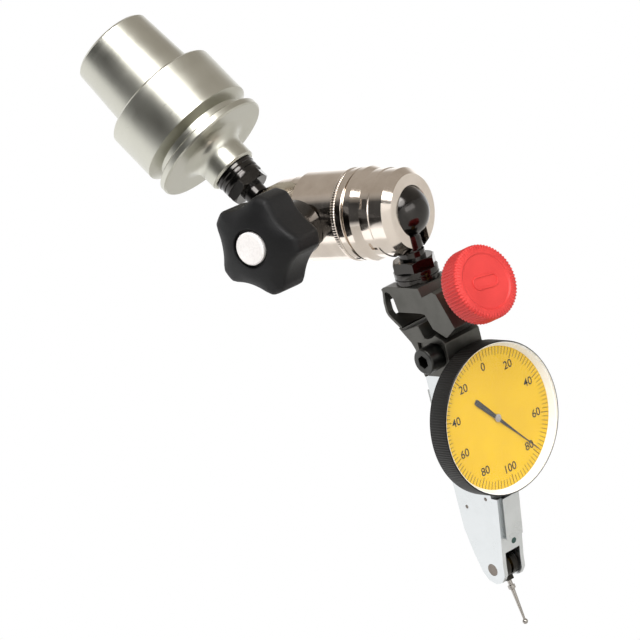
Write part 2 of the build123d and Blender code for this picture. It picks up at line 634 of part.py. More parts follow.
PARTS = {
    "hollow_shank": hollow_shank,
    "thrust_collar": thrust_collar,
    "rear_ball_stud": rear_stud,
    "arm_tube": arm_tube,
    "lock_ring": lock_ring,
    "spanner_ring": spanner_ring,
    "front_cap": front_cap,
    "cap_snap_ring": cap_snap_ring,
    "rear_ball_seat": lambda: ARM * ball_seat(SOCKET_R),
    "front_ball_seat": lambda: FRONT_INSIDE * ball_seat(SOCKET_R),
    "rear_push_rod": lambda: ARM * push_rod(KNOB_PLACE - 1.2),
    "front_push_rod": lambda: FRONT_INSIDE * push_rod(BALL_DISTANCE - KNOB_PLACE - 1.2),
    "clamp_spindle": clamp_spindle,
    "guide_bush": guide_bush,
    "star_knob": star_knob,
    "knob_insert": knob_insert,
    "knob_cap_disc": knob_cap_disc,
    "front_ball_stud": front_stud,
    "fine_block": fine_block,
    "flexure_leaf": flexure_leaf,
    "screw_bush": screw_bush,
    "fine_screw": fine_screw,
    "red_knob": red_knob,
    "fine_lever": fine_lever,
    "clamp_jaw": clamp_jaw,
    "clamp_screw": clamp_screw,
    "indicator_body": indicator_body,
    "top_dovetail": top_dovetail,
    "back_dovetail": back_dovetail,
    "dowel_pin_lower": lambda: dowel_pin(DOWEL_PLACES[0]),
    "dowel_pin_upper": lambda: dowel_pin(DOWEL_PLACES[1]),
    "pivot_pin": pivot_pin,
    "movement_plate": movement_plate,
    "upper_jewel": upper_jewel,
    "lower_jewel": lower_jewel,
    "bezel_seat": bezel_seat,
    "bezel": bezel,
    "dial_ring": dial_ring,
    "dial_plate": dial_plate,
    "crystal": crystal,
    "needle": needle,
    "needle_hub": needle_hub,
    "needle_arbor": needle_arbor,
    "hairspring": hairspring,
    "crown_wheel": crown_wheel,
    "crown_arbor": crown_arbor,
    "contact_lever": contact_lever,
    "contact_drum": contact_drum,
    "stylus": stylus,
}

os.makedirs("parts", exist_ok=True)
for name, make in PARTS.items():
    export_step(make(), f"parts/{name}.step")
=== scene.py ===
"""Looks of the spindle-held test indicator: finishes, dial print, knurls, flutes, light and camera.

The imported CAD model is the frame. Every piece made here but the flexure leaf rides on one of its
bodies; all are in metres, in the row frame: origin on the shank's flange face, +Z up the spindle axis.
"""
import json
import logging
import math
from dataclasses import dataclass, field
from enum import Enum
from typing import Any, ClassVar, Iterable, Optional, Sequence

import bmesh
import bpy
from mathutils import Matrix, Vector


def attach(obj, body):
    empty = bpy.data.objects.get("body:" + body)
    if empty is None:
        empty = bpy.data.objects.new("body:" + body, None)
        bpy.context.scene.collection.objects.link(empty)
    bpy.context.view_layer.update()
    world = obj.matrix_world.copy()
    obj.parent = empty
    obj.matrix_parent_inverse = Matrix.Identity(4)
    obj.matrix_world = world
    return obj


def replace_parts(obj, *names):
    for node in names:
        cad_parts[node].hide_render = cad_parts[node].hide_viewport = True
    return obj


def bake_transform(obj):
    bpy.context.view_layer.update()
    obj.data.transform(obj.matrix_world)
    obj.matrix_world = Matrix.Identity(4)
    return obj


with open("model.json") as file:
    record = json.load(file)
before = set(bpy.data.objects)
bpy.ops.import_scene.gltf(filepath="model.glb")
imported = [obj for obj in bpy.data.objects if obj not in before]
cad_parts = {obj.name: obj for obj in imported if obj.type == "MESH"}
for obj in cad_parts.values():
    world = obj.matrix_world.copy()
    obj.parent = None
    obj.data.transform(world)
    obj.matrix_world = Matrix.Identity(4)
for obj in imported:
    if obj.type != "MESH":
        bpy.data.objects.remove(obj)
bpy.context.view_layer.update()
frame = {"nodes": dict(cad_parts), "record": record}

logging.basicConfig(level=logging.INFO, format="%(name)s: %(message)s")
LOG = logging.getLogger("indicator")

MM = 0.001
JOINTS: dict[str, dict[str, Any]] = {j["name"]: j for j in frame["record"]["behaviour"]["joints"]}


# ---- places, read from the joints ---------------------------------------------------------------
def joint_axis(name: str) -> Vector:
    """The unit vector of a joint's axis, in the row frame."""
    return Vector(JOINTS[name]["axis"]).normalized()


def joint_place(name: str) -> Vector:
    """A point on a hinge's axis, in the row frame, in metres."""
    return Vector(JOINTS[name]["pos_m"])


def frame_at(origin: Vector, x: Vector, z: Vector) -> Matrix:
    """A place for a piece.

    Args:
        origin: where the piece's own origin goes, in metres.
        x: the direction its X axis points.
        z: the direction its Z axis points, at right angles to x.

    Returns:
        The matrix that carries the piece's own coordinates, in metres, into the row frame.
    """
    z = z.normalized()
    x = (x - z * x.dot(z)).normalized()
    y = z.cross(x)
    turn = Matrix((x, y, z)).transposed().to_4x4()
    return Matrix.Translation(origin) @ turn


DOWN_INDICATOR = joint_axis("block_spin")        # from the front ball down to the stylus
OUT_OF_DIAL = joint_axis("bezel_turn")
OUT_OF_SIDE = joint_axis("clamp_screw_turn")     # out of the side that holds the clamp screw
ALONG_ARM = joint_axis("cap_turn")

ARM_PLACE = frame_at(joint_place("arm_tilt"), joint_axis("clamp_knob"), ALONG_ARM)
OUT_OF_STAR = joint_axis("clamp_knob")
STAR_PLACE = frame_at(joint_place("clamp_knob"), OUT_OF_STAR.cross(ALONG_ARM), OUT_OF_STAR)
RED_PLACE = frame_at(joint_place("fine_knob"), OUT_OF_SIDE, joint_axis("fine_knob"))
DIAL_PLACE = frame_at(joint_place("bezel_turn"), -OUT_OF_SIDE, OUT_OF_DIAL)   # y points to the zero
BLOCK_PLACE = frame_at(joint_place("block_spin"), DOWN_INDICATOR, OUT_OF_SIDE)


def linear(hex_colour: str) -> tuple[float, float, float, float]:
    """Turns an sRGB hex colour to linear light.

    Args:
        hex_colour: the colour, such as "#cdd0d1".

    Returns:
        Linear red, green and blue, and an alpha of 1.
    """
    channels = [int(hex_colour[i:i + 2], 16) / 255 for i in (1, 3, 5)]
    curve = [c / 12.92 if c <= 0.04045 else ((c + 0.055) / 1.055) ** 2.4 for c in channels]
    return (curve[0], curve[1], curve[2], 1.0)


# ---- node helper --------------------------------------------------------------------------------
def add_node(tree: bpy.types.NodeTree, kind: str, links: Optional[dict[Any, Any]] = None,
             values: Optional[dict[Any, Any]] = None, stops: Sequence[tuple[float, Any]] = (),
             **settings: Any) -> bpy.types.Node:
    """Adds one node with its settings, socket values and incoming links.

    Args:
        tree: the node tree to add to.
        kind: the node's type name.
        links: input socket name or index to the output socket that feeds it.
        values: input socket name or index to its constant.
        stops: a colour ramp's positions and colours, in order.
        **settings: the node's own properties.

    Returns:
        The new node.
    """
    node = tree.nodes.new(kind)
    for name, value in settings.items():
        setattr(node, name, value)
    for key, value in (values or {}).items():
        node.inputs[key].default_value = value
    for key, output in (links or {}).items():
        tree.links.new(output, node.inputs[key])
    if stops:
        elements = node.color_ramp.elements
        for element, (position, colour) in zip(elements, (stops[0], stops[-1])):
            element.position, element.color = position, colour
        for position, colour in stops[1:-1]:
            elements.new(position).color = colour
    return node


def grey(level: float) -> tuple[float, float, float, float]:
    """A neutral colour of one linear level."""
    return (level, level, level, 1.0)


def new_tree(name: str) -> tuple[bpy.types.Material, bpy.types.NodeTree]:
    """Makes a material with an empty node tree.

    Args:
        name: the material's name.

    Returns:
        The material and its node tree.
    """
    material = bpy.data.materials.new(name)
    material.use_nodes = True
    material.node_tree.nodes.clear()
    return material, material.node_tree


# ---- finishes -----------------------------------------------------------------------------------
NOISE_LOW, NOISE_HIGH = 0.3, 0.7         # nearly all of a noise pattern's values lie between these


class Lay(Enum):
    """How a tool left its lines: how often the pattern repeats along X, Y and Z, as shares."""

    TURNED = (0.02, 0.02, 1.0)       # rings about the piece's own Z
    BLASTED = (1.0, 1.0, 1.0)        # no direction


@dataclass(frozen=True)
class Metal:
    """A bare, plated or oxidised metal, cut, ground or blasted."""

    name: str
    colour: str
    dark_colour: str
    roughness: float
    lay: Lay = Lay.BLASTED
    line_mm: float = 0.25           # spacing of the tool lines, drawn coarse enough to show
    bump: float = 0.05
    mottle_mm: float = 6.0          # size of the soft patches where the finish varies
    metallic: float = 1.0
    place: Matrix = field(default_factory=lambda: Matrix.Identity(4))
    coat: float = 0.0

    def build(self) -> bpy.types.Material:
        """Makes the material: soft patches in colour and gloss, and fine tool lines in gloss and relief.

        Returns:
            The material, named for this finish.
        """
        material, tree = new_tree(self.name)
        where = add_node(tree, "ShaderNodeTexCoord").outputs["Object"]
        back = self.place.inverted()
        turned = add_node(tree, "ShaderNodeMapping", {"Vector": where}, {
            "Location": back.to_translation(), "Rotation": back.to_euler()}).outputs[0]
        per_line = 1 / (self.line_mm * MM)
        lines_at = add_node(tree, "ShaderNodeMapping", {"Vector": turned}, {
            "Scale": [share * per_line for share in self.lay.value]}).outputs[0]
        lines = add_node(tree, "ShaderNodeTexNoise", {"Vector": lines_at}, {
            "Scale": 1.0, "Detail": 4.0, "Roughness": 0.6}).outputs["Fac"]
        mottle = add_node(tree, "ShaderNodeTexNoise", {"Vector": where}, {
            "Scale": 1 / (self.mottle_mm * MM), "Detail": 3.0, "Roughness": 0.55}).outputs["Fac"]
        colour = add_node(tree, "ShaderNodeValToRGB", {"Fac": mottle}, stops=[
            (NOISE_LOW, linear(self.dark_colour)), (0.62, linear(self.colour))]).outputs["Color"]
        wear, gloss = (
            add_node(tree, "ShaderNodeMapRange", {"Value": pattern}, {
                "From Min": NOISE_LOW, "From Max": NOISE_HIGH, "To Min": low, "To Max": high}).outputs[0]
            for pattern, low, high in (
                (mottle, self.roughness * 0.85, self.roughness * 1.2), (lines, -0.025, 0.03)))
        rough = add_node(tree, "ShaderNodeMath", {0: wear, 1: gloss}, use_clamp=True)
        relief = add_node(tree, "ShaderNodeBump", {"Height": lines}, {
            "Strength": self.bump, "Distance": 0.02 * MM})
        shader = add_node(tree, "ShaderNodeBsdfPrincipled", {
            "Base Color": colour, "Roughness": rough.outputs[0], "Normal": relief.outputs[0]}, {
            "Metallic": self.metallic, "Coat Weight": self.coat, "Coat Roughness": 0.08})
        add_node(tree, "ShaderNodeOutputMaterial", {"Surface": shader.outputs[0]})
        return material


@dataclass(frozen=True)
class Coated:
    """A moulded plastic, paint, enamel or print: a coloured body under its own gloss."""

    name: str
    colour: str
    dark_colour: str
    roughness: float
    grain_mm: float = 0.35
    bump: float = 0.1
    grain_depth_mm: float = 0.02
    specular: float = 0.5
    ior: float = 1.5
    mottle_mm: float = 7.0

    def build(self) -> bpy.types.Material:
        """Makes the material: a fine grain in relief and gloss over soft colour variation.

        Returns:
            The material, named for this finish.
        """
        material, tree = new_tree(self.name)
        where = add_node(tree, "ShaderNodeTexCoord").outputs["Object"]
        grain, mottle = (
            add_node(tree, "ShaderNodeTexNoise", {"Vector": where}, {
                "Scale": 1 / (size * MM), "Detail": 3.0, "Roughness": fineness}).outputs["Fac"]
            for size, fineness in ((self.grain_mm, 0.6), (self.mottle_mm, 0.5)))
        colour = add_node(tree, "ShaderNodeValToRGB", {"Fac": mottle}, stops=[
            (NOISE_LOW, linear(self.dark_colour)), (0.65, linear(self.colour))]).outputs["Color"]
        rough = add_node(tree, "ShaderNodeMapRange", {"Value": grain}, {
            "From Min": NOISE_LOW, "From Max": NOISE_HIGH,
            "To Min": self.roughness * 0.85, "To Max": self.roughness * 1.15}).outputs[0]
        relief = add_node(tree, "ShaderNodeBump", {"Height": grain}, {
            "Strength": self.bump, "Distance": self.grain_depth_mm * MM})
        shader = add_node(tree, "ShaderNodeBsdfPrincipled", {
            "Base Color": colour, "Roughness": rough, "Normal": relief.outputs[0]}, {
            "IOR": self.ior, "Specular IOR Level": self.specular})
        add_node(tree, "ShaderNodeOutputMaterial", {"Surface": shader.outputs[0]})
        return material


@dataclass(frozen=True)
class ClearCover:
    """A thin clear acrylic cover, seen only by its gloss and a few fine hairlines."""

    name: str
    alpha: float = 0.06
    hairline_mm: float = 2.0

    def build(self) -> bpy.types.Material:
        """Makes the cover's material.

        Returns:
            The material, named for this finish.
        """
        material, tree = new_tree(self.name)
        where = add_node(tree, "ShaderNodeTexCoord").outputs["Object"]
        hairline = add_node(tree, "ShaderNodeTexNoise", {"Vector": where}, {
            "Scale": 1 / (self.hairline_mm * MM), "Detail": 5.0}).outputs["Fac"]
        rough = add_node(tree, "ShaderNodeMapRange", {"Value": hairline}, {"To Min": 0.02, "To Max": 0.08})
        relief = add_node(tree, "ShaderNodeBump", {"Height": hairline}, {
            "Strength": 0.02, "Distance": 0.01 * MM})
        shader = add_node(tree, "ShaderNodeBsdfPrincipled", {
            "Roughness": rough.outputs[0], "Normal": relief.outputs[0]}, {
            "Base Color": linear("#f4f8f8"), "IOR": 1.49, "Alpha": self.alpha})
        add_node(tree, "ShaderNodeOutputMaterial", {"Surface": shader.outputs[0]})
        return material


FINISHES: dict[str, Any] = {
    # Case-hardened tool steel, cylindrically ground: fine rings, drawn coarser, that blur reflections.
    "ground_steel": Metal("ground_tool_steel", "#bfbeb4", "#b6b5ab", 0.33, Lay.TURNED, 0.4, 0.1,
                          mottle_mm=16.0),
    # Steel oxidised black in a hot bath and oiled: dark, slightly brown, with a wet gloss.
    "black_oxide": Metal("black_oxide_steel", "#3f3d3b", "#302e2d", 0.15, Lay.BLASTED, 0.3, 0.08, coat=0.2),
    # Steel, polished and nickel plated: a warm mirror with long soft bands.
    "nickel": Metal("nickel_plated_steel", "#ddd3c9", "#d0c5ba", 0.1, Lay.TURNED, 0.4, 0.06, place=ARM_PLACE),
    # Hardened steel, ground: plain grey, a little blurred.
    "hardened_steel": Metal("hardened_ground_steel", "#a3a3a0", "#8a8a88", 0.22, Lay.BLASTED, 0.3, 0.1),
    # Sintered bronze bush: warm, slightly porous.
    "bush_bronze": Metal("sintered_bronze", "#b58d55", "#8f6c3c", 0.34, Lay.BLASTED, 0.2, 0.3),
    # Glass-filled nylon from a spark-eroded mould: near black with a fine even grain.
    "star_plastic": Coated("moulded_nylon_black", "#161617", "#101011", 0.48, 0.28, 0.8, 0.06, specular=0.22),
    # Polystyrene snap-in cover: smooth and slightly warm white.
    "cap_plastic": Coated("white_polystyrene", "#efeceb", "#e2dedc", 0.28, 0.6, 0.04),
    # Steel block, milled, blasted and blackened: satin, grey where it faces the light.
    "black_steel": Metal("blasted_black_steel", "#5b5a56", "#4e4d49", 0.36, Lay.BLASTED, 0.16, 0.4,
                         metallic=0.9),
    # Aluminium turned, then anodised red: a satin face with fine lathe rings.
    "red_aluminium": Metal("red_anodised_aluminium", "#d23a37", "#c73230", 0.46, Lay.TURNED, 0.22, 0.2,
                           metallic=0.25, place=RED_PLACE),
    # Cap screw, forged and blackened: dull, with a worn grey edge to its tone.
    "screw_steel": Metal("black_screw_steel", "#4a4a48", "#2f2f2e", 0.35, Lay.BLASTED, 0.25, 0.2),
    # Brass body plated with satin chrome: almost white, with a silky blur.
    "satin_chrome": Metal("satin_chrome_plate", "#cdd0d1", "#c4c7c8", 0.3, Lay.BLASTED, 0.12, 0.15),
    # Drawn pin steel, ground and cut flush: brownish grey.
    "pin_steel": Metal("ground_pin_steel", "#7a726b", "#665f58", 0.25, Lay.BLASTED, 0.2, 0.1),
    # Clock brass, gilded: warm and smooth.
    "gilt_brass": Metal("gilt_movement_brass", "#c9a24c", "#b58f3d", 0.3, Lay.BLASTED, 0.2, 0.15),
    # Synthetic ruby, drilled and polished: deep red with a hard gloss.
    "ruby": Coated("synthetic_ruby", "#a3122c", "#8c0f26", 0.08, 0.6, 0.02, ior=1.76),
    # Aluminium ring, straight knurled and anodised black.
    "bezel_black": Metal("black_anodised_bezel", "#21201e", "#181716", 0.4, Lay.BLASTED, 0.2, 0.2,
                         metallic=0.6),
    # Brass ring, stoved white enamel: bright and even.
    "white_enamel": Coated("white_stoved_enamel", "#f7f7f5", "#efefec", 0.25, 0.8, 0.03),
    # Aluminium dial, silk printed in yellow: even, satin, with a faint paper-like tooth.
    "dial_yellow": Coated("yellow_printed_dial", "#dfb500", "#d9ae00", 0.5, 0.5, 0.05, 0.01, specular=0.08),
    # Screen printing ink: flat and dark, slightly brown on the yellow.
    "dial_ink": Coated("black_screen_ink", "#1e1709", "#161006", 0.5, 0.4, 0.05, 0.01, specular=0.05),
    # Cast acrylic, polished: almost invisible, with faint hairlines.
    "crystal": ClearCover("clear_acrylic_cover", 0.03),
    # Aluminium strip, stamped and painted matt black.
    "needle_black": Coated("matt_black_needle_paint", "#171412", "#100e0c", 0.45, 0.3, 0.05, 0.01),
    # Turned and polished boss: a small bright dot.
    "hub_steel": Metal("polished_hub_steel", "#b9b3ae", "#a09a94", 0.18, Lay.BLASTED, 0.3, 0.05),
    # Spring strip and wire, blued by tempering: cool grey.
    "spring_steel": Metal("blued_spring_steel", "#6d7480", "#565c66", 0.25, Lay.BLASTED, 0.3, 0.05),
    # Friction drum, turned and blackened: nearly black in the fork.
    "drum_dark": Metal("blackened_drum_steel", "#34322f", "#232220", 0.3, Lay.BLASTED, 0.2, 0.15),
    # Stylus, ground and polished: a thin bright line.
    "stylus_steel": Metal("polished_stylus_steel", "#a8a49f", "#8f8b86", 0.16, Lay.BLASTED, 0.2, 0.05),
    # Filled enamel dot: dark green and matt.
    "green_mark": Coated("dark_green_mark", "#12403a", "#0e332e", 0.4, 0.3, 0.05),
}

MADE: dict[str, bpy.types.Material] = {}


def finish(key: str) -> bpy.types.Material:
    """Makes a finish's material the first time it is asked for.

    Args:
        key: the finish's key in FINISHES.

    Returns:
        The material.
    """
    if key not in MADE:
        MADE[key] = FINISHES[key].build()
    return MADE[key]


def dress(piece: bpy.types.Object, key: str) -> None:
    """Gives a piece one finish all over."""
    piece.data.materials.clear()
    piece.data.materials.append(finish(key))


# ---- mesh helpers -------------------------------------------------------------------------------
def spun(profile: Iterable[tuple[float, float]], steps: int) -> bmesh.types.BMesh:
    """Spins a closed outline about Z into a solid ring or disc.

    Args:
        profile: (radius, height) points in mm, in order around the section.
        steps: faces around the full turn.

    Returns:
        The mesh, in metres, with its seam and poles merged and its normals outward.
    """
    mesh = bmesh.new()
    points = [mesh.verts.new((r * MM, 0, z * MM)) for r, z in profile]
    edges = [mesh.edges.new(pair) for pair in zip(points, points[1:] + points[:1])]
    bmesh.ops.spin(mesh, geom=points + edges, cent=(0, 0, 0), axis=(0, 0, 1), angle=math.tau, steps=steps,
                   use_merge=True)
    bmesh.ops.remove_doubles(mesh, verts=mesh.verts, dist=0.002 * MM)
    bmesh.ops.recalc_face_normals(mesh, faces=mesh.faces)
    return mesh


def rounded(corners: Sequence[tuple[float, float, float]], pieces: int = 5) -> list[tuple[float, float]]:
    """Rounds the corners of a section.

    Args:
        corners: (radius, height, corner radius) in mm, in order; a corner radius of 0 stays sharp.
        pieces: points along each rounded corner.

    Returns:
        The section's (radius, height) points.
    """
    outline: list[tuple[float, float]] = []
    count = len(corners)
    for i, (r, z, round_r) in enumerate(corners):
        here = Vector((r, z))
        if round_r == 0:
            outline.append((r, z))
            continue
        before = (Vector(corners[i - 1][:2]) - here).normalized()
        after = (Vector(corners[(i + 1) % count][:2]) - here).normalized()
        start, end = here + before * round_r, here + after * round_r
        for step in range(pieces + 1):
            t = step / pieces
            point = start * (1 - t) ** 2 + here * 2 * t * (1 - t) + end * t ** 2
            outline.append((point.x, point.y))
    return outline


def finished(mesh: bmesh.types.BMesh, name: str, place: Matrix, key: str, body: Optional[str],
             sharp_degrees: float = 35.0) -> bpy.types.Object:
    """Puts a bmesh into the scene as a piece that rides on a body.

    Args:
        mesh: the piece's mesh in its own place, in metres; it is freed here.
        name: the piece's name.
        place: where it goes in the row frame.
        key: its finish.
        body: the CAD body it rides on, or None for a piece that is left on no body.
        sharp_degrees: edges that turn more than this stay crisp.

    Returns:
        The new object.
    """
    mesh.transform(place)
    for face in mesh.faces:
        face.smooth = True
    for edge in mesh.edges:
        if edge.is_manifold and edge.calc_face_angle() > math.radians(sharp_degrees):
            edge.smooth = False
    data = bpy.data.meshes.new(name)
    mesh.to_mesh(data)
    mesh.free()
    piece = bpy.data.objects.new(name, data)
    bpy.context.scene.collection.objects.link(piece)
    dress(piece, key)
    if body:
        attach(piece, body)
    LOG.info("%s rides on %s", name, body or "two bodies")
    return piece


def radial(vertex: bmesh.types.BMVert) -> tuple[float, float]:
    """A vertex's distance from Z in mm and its angle about Z."""
    return math.hypot(vertex.co.x, vertex.co.y) / MM, math.atan2(vertex.co.y, vertex.co.x)


def scale_radius(vertex: bmesh.types.BMVert, factor: float) -> None:
    """Moves a vertex in or out from Z."""
    vertex.co.x *= factor
    vertex.co.y *= factor


def knurl(mesh: bmesh.types.BMesh, count: int, depth: float, start_r: float, run: float = 0.0) -> None:
    """Draws the rim of a spun piece in at evenly spaced places.

    Args:
        mesh: the piece, turned about Z.
        count: knurls or flutes around the full turn.
        depth: how deep they go, in mm.
        start_r: the radius outside which they cut, in mm.
        run: how far out from there they reach their depth, in mm, or 0 for at once.
    """
    for vertex in mesh.verts:
        radius, angle = radial(vertex)
        if radius > start_r:
            wave = 0.5 - 0.5 * math.cos(angle * count)
            share = min((radius - start_r) / run, 1.0) if run else 1.0
            scale_radius(vertex, 1 - depth * wave * share / radius)


OUTER_EDGE = 28.0            # degrees that an outer edge turns before it is broken
FLAT = 0.6                   # degrees between faces that count as one flat face


def softened(node: str, key: str, body: str, width: float = 0.14) -> bpy.types.Object:
    """Copies a CAD node with its outer edges broken, as a tumbler or a file leaves them.

    Args:
        node: the CAD node to stand for.
        key: its finish.
        body: the body it rides on.
        width: how wide the broken edges are, in mm.

    Returns:
        The piece, in place of the node.
    """
    source = frame["nodes"][node]
    mesh = bmesh.new()
    mesh.from_mesh(source.data)
    mesh.transform(source.matrix_world)
    bmesh.ops.remove_doubles(mesh, verts=mesh.verts, dist=0.001 * MM)
    bmesh.ops.dissolve_limit(mesh, angle_limit=math.radians(FLAT), verts=mesh.verts, edges=mesh.edges)
    sharp = [edge for edge in mesh.edges
             if edge.is_manifold and edge.is_convex and edge.calc_face_angle() > math.radians(OUTER_EDGE)]
    bmesh.ops.bevel(mesh, geom=sharp, affect="EDGES", offset=width * MM, offset_type="OFFSET", segments=2,
                    profile=0.5, material=-1, clamp_overlap=True)
    piece = finished(mesh, f"{node}_softened", Matrix.Identity(4), key, body, 40)
    weighted = piece.modifiers.new("even_shading", "WEIGHTED_NORMAL")
    weighted.keep_sharp = True
    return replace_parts(piece, node)


# ---- sub-assemblies -----------------------------------------------------------------------------
class SubAssembly:
    """Pieces that belong together: CAD nodes that are dressed as they stand, and rebuilt ones."""

    looks: ClassVar[dict[str, str]] = {}         # CAD node to finish

    def dress_nodes(self) -> None:
        """Gives each CAD node its finish, through its object's own material slot."""
        for name, key in self.looks.items():
            slot = frame["nodes"][name].material_slots[0]
            slot.link = "OBJECT"
            slot.material = finish(key)
            LOG.info("%s is dressed in %s", name, FINISHES[key].name)

    def build(self) -> None:
        """Builds the detailed pieces, where there are any."""


class Shank(SubAssembly):
    """The hollow taper shank and the collar that seats on its flange."""

    looks = {"hollow_shank": "ground_steel", "thrust_collar": "black_oxide"}


@dataclass
class LockRing:
    """The finely knurled ring behind the front cap, in mm along the arm from the rear ball."""

    start: float = 24.02
    rim_start: float = 24.3
    rim_end: float = 25.2
    end: float = 25.4
    inner_r: float = 9.42
    face_r: float = 11.3
    outer_r: float = 11.55
    corner: float = 0.1
    knurls: int = 110
    knurl_depth: float = 0.14
    knurl_from: float = 11.35

    def build(self) -> bpy.types.Object:
        """Builds the ring from one section and draws its edge in at each knurl.

        Returns:
            The ring, in place of its CAD node.
        """
        section = rounded([
            (self.inner_r, self.start, 0.0), (self.face_r, self.start, self.corner),
            (self.outer_r, self.rim_start, self.corner), (self.outer_r, self.rim_end, self.corner),
            (self.face_r, self.end, self.corner), (self.inner_r, self.end, 0.0),
        ], 3)
        mesh = spun(section, self.knurls * 6)
        knurl(mesh, self.knurls, self.knurl_depth, self.knurl_from)
        piece = finished(mesh, "lock_ring_knurled", ARM_PLACE, "nickel", "arm", 40)
        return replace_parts(piece, "lock_ring")


@dataclass
class Arm(SubAssembly):
    """The plated arm between the two balls, with its cap and rings."""

    looks = {
        "arm_tube": "nickel", "lock_ring": "nickel", "spanner_ring": "nickel", "front_cap": "nickel",
        "cap_snap_ring": "spring_steel",
    }
    ring: LockRing = field(default_factory=LockRing)

    def build(self) -> None:
        """Builds the knurled ring."""
        self.ring.build()


@dataclass
class StarKnob(SubAssembly):
    """The moulded five-lobed clamping knob, in mm from the arm's axis."""

    looks = {"star_knob": "star_plastic", "knob_insert": "hardened_steel", "knob_cap_disc": "cap_plastic"}
    lobe_r: float = 12.7
    lobes: int = 5
    valley_r: float = 12.4
    valley_place: float = 22.6
    valley_start: float = 17.0       # degrees to the first valley
    valley_from: float = 7.7         # radius where the valleys begin to draw the outline in
    valley_fade: float = 0.7         # how quickly they reach their depth outward
    soft: float = 0.55               # how far a valley's edge is rounded into its lobe
    face: float = 32.1
    depth: float = 12.3
    dome: float = 2.5
    dome_radii: tuple[float, ...] = (9.6, 8.4, 7.2, 6.2)
    edge: float = 1.3
    recess_r: float = 4.9
    recess_depth: float = 1.4
    hub_r: float = 7.6
    hub_back: float = 17.3
    bore_r: float = 5.52
    bore_end: float = 26.5
    steps: int = 240

    def outline(self, angle: float) -> float:
        """Finds the knob's edge, with its valleys blended softly into the lobes.

        Args:
            angle: the direction about the knob's axis, in radians.

        Returns:
            The radius of the edge in that direction, in mm.
        """
        pitch = math.tau / self.lobes
        off = (angle - math.radians(self.valley_start) + pitch / 2) % pitch - pitch / 2
        reach = self.valley_r ** 2 - (self.valley_place * math.sin(off)) ** 2
        if reach > 0:
            valley = self.valley_place * math.cos(off) - math.sqrt(reach)
        else:
            valley = self.lobe_r + 4
        low, high = sorted((valley, self.lobe_r))
        return low - self.soft * math.exp(-(high - low) / self.soft)

    def build(self) -> None:
        """Builds the knob, in place of its CAD node: one section, spun and drawn in at the valleys."""
        back = self.face - self.depth
        side = self.face - self.dome
        floor = self.face - self.recess_depth
        dome_r = self.lobe_r ** 2 / (2 * self.dome)
        top = [(r, self.face - r * r / (2 * dome_r), 0.0) for r in self.dome_radii]
        lip = self.face - self.recess_r ** 2 / (2 * dome_r)
        section = rounded([
            (self.bore_r, self.bore_end, 0.0), (self.bore_r, self.hub_back, 0.2),
            (self.hub_r, self.hub_back, 0.4), (self.hub_r, back, 0.4), (self.lobe_r, back, self.edge),
            (self.lobe_r, side, self.edge * 1.3), *top, (self.recess_r, lip, 0.3),
            (self.recess_r, floor, 0.2), (0.0, floor, 0.0), (0.0, self.bore_end, 0.0),
        ], 6)
        mesh = spun(section, self.steps)
        for vertex in mesh.verts:
            radius, angle = radial(vertex)
            if radius > self.valley_from:
                share = min((radius - self.valley_from) / (self.lobe_r - self.valley_from), 1.0)
                drawn = self.outline(angle) / self.lobe_r - 1
                scale_radius(vertex, 1 + drawn * share ** self.valley_fade)
        piece = finished(mesh, "star_knob_moulding", STAR_PLACE, "star_plastic", "star_knob", 50)
        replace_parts(piece, "star_knob")


class BallJoints(SubAssembly):
    """The two ball studs, and the seats, rods and spindle inside the arm that clamp them."""

    looks = {
        "rear_ball_stud": "black_oxide", "front_ball_stud": "black_oxide", "guide_bush": "black_oxide",
        "rear_ball_seat": "hardened_steel", "front_ball_seat": "hardened_steel",
        "rear_push_rod": "hardened_steel", "front_push_rod": "hardened_steel",
        "clamp_spindle": "hardened_steel",
    }

    def build(self) -> None:
        """Breaks the outer edges of the two studs."""
        for node, body in (("rear_ball_stud", "rear_stud"), ("front_ball_stud", "front_stud")):
            softened(node, "black_oxide", body)


@dataclass
class FlexureLeaf:
    """The thin slotted leaf on which the adjuster hinges, in mm on the indicator's side plane."""

    line: tuple[tuple[float, float], ...] = (
        (18.7, -7.4), (20.6, -7.75), (21.9, -8.0), (24.4, -7.95), (25.3, -7.5), (26.1, -6.75),
        (28.6, -3.9))
    half_width: float = 5.95
    thickness: float = 0.75
    window: tuple[float, float, float] = (21.4, 25.7, 4.2)     # from and to along it, and half its width
    columns: int = 46
    rows: int = 20

    def depth_at(self, along: float) -> float:
        """Finds how far out the leaf lies.

        Args:
            along: the place along the indicator, in mm.

        Returns:
            The leaf's place across the indicator there, in mm.
        """
        for (u0, v0), (u1, v1) in zip(self.line, self.line[1:]):
            if along <= u1:
                return v0 + (v1 - v0) * (along - u0) / (u1 - u0)
        return self.line[-1][1]

    def build(self) -> bpy.types.Object:
        """Builds the leaf from a flat grid: bent, opened at its window and thickened.

        Returns:
            The leaf, in place of its CAD node, with its place baked into its mesh and left on no body.
        """
        start, end = self.line[0], self.line[-1]
        mesh = bmesh.new()
        bmesh.ops.create_grid(mesh, x_segments=self.columns, y_segments=self.rows, size=0.5)
        for vertex in mesh.verts:
            along = start[0] + (vertex.co.x + 0.5) * (end[0] - start[0])
            vertex.co = Vector((along, self.depth_at(along), vertex.co.y * 2 * self.half_width)) * MM
        low, high, half = self.window
        middles = {face: face.calc_center_median() / MM for face in mesh.faces}
        opened = [face for face, middle in middles.items() if low < middle.x < high and abs(middle.z) < half]
        bmesh.ops.delete(mesh, geom=opened, context="FACES")
        bmesh.ops.recalc_face_normals(mesh, faces=mesh.faces)
        bmesh.ops.solidify(mesh, geom=list(mesh.faces), thickness=self.thickness * MM)
        bmesh.ops.recalc_face_normals(mesh, faces=mesh.faces)
        piece = finished(mesh, "flexure_leaf_slotted", BLOCK_PLACE, "black_steel", None, 40)
        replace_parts(piece, "flexure_leaf")
        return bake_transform(piece)


